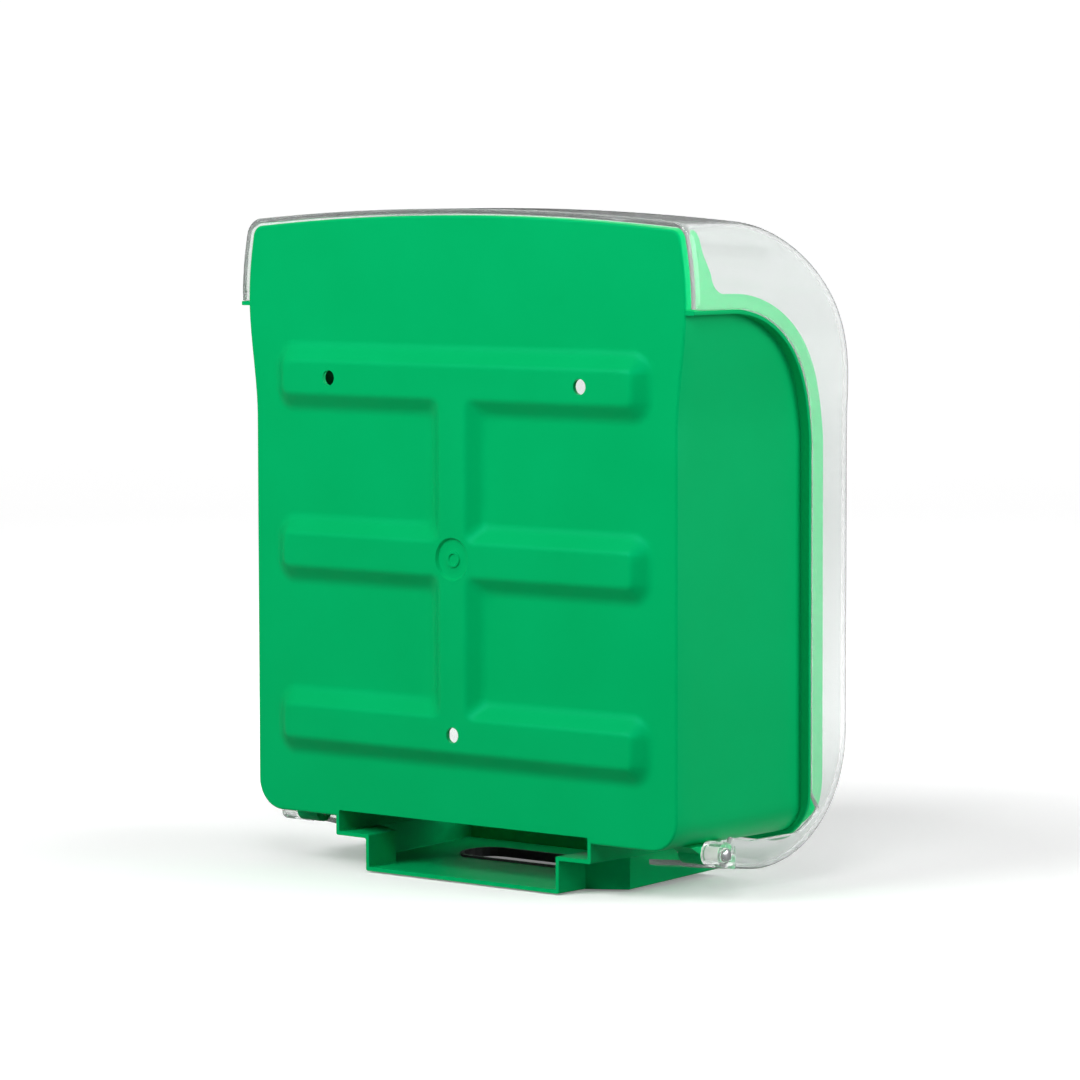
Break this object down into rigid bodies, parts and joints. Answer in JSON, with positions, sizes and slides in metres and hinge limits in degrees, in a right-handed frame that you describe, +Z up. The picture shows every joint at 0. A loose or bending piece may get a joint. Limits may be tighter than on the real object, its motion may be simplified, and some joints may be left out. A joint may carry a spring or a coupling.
{
  "type": "wall-mounted dog waste bag unit",
  "caption": "Wall-mounted dog waste bag unit: ribbed moulded housing with a floor chute, clear drop-down front cover with a lock, and a bag magazine inside.",
  "frame": {"origin": "midway between the two upper wall-fixing holes, on the plane of the wall that the ribs rest on", "axes": "+X to the unit's left-hand side as it faces out, +Y into the wall, so the unit stands out along -Y, +Z up"},
  "size_m": [0.3468, 0.1723, 0.3886],
  "materials": {
    "moulded_green": "injection-moulded plastic, satin",
    "clear_cover": "clear polycarbonate with a slight smoke tint, glossy",
    "dark_plastic": "moulded black plastic, matte",
    "zinc_steel": "zinc-plated steel, satin",
    "lock_chrome": "nickel-plated, polished",
    "white_nylon": "natural nylon"
  },
  "bodies": {
    "housing": {"rear_housing": "moulded_green", "outlet_bezel": "dark_plastic", "bag_shelf": "dark_plastic", "shelf_screw_front_left": "zinc_steel", "shelf_screw_front_right": "zinc_steel", "shelf_screw_rear_left": "zinc_steel", "shelf_screw_rear_right": "zinc_steel", "bag_guide_left": "dark_plastic", "bag_guide_right": "dark_plastic", "guide_screw_upper_left": "zinc_steel", "guide_screw_upper_right": "zinc_steel", "guide_screw_lower_left": "zinc_steel", "guide_screw_lower_right": "zinc_steel", "retainer_bar": "zinc_steel", "bar_screw_left": "zinc_steel", "bar_screw_right": "zinc_steel", "bar_nut_left": "zinc_steel", "bar_nut_right": "zinc_steel", "hinge_pin_left": "zinc_steel", "hinge_pin_right": "zinc_steel", "pin_clip_left": "zinc_steel", "pin_clip_right": "zinc_steel"},
    "cover": {"front_cover": "clear_cover", "hinge_bush_left": "white_nylon", "hinge_bush_right": "white_nylon", "lock_body": "lock_chrome", "lock_nut": "zinc_steel", "lock_washer": "zinc_steel"},
    "lock_barrel": {"lock_plug": "lock_chrome", "lock_cam": "zinc_steel", "cam_screw": "zinc_steel"},
    "follower": {"follower_plate": "zinc_steel", "follower_grip": "dark_plastic"}
  },
  "joints": [
    {"name": "cover_hinge", "type": "hinge", "parent": "housing", "child": "cover", "pos_m": [0, -0.0415, -0.262], "axis": [1, 0, 0], "range_deg": [0, 100]},
    {"name": "lock_turn", "type": "hinge", "parent": "cover", "child": "lock_barrel", "pos_m": [0, -0.1335, 0.008], "axis": [0, -1, 0], "range_deg": [0, 90]},
    {"name": "follower_slide", "type": "slide", "parent": "housing", "child": "follower", "axis": [0, 0, 1], "range_m": [0, 0.23]}
  ]
}
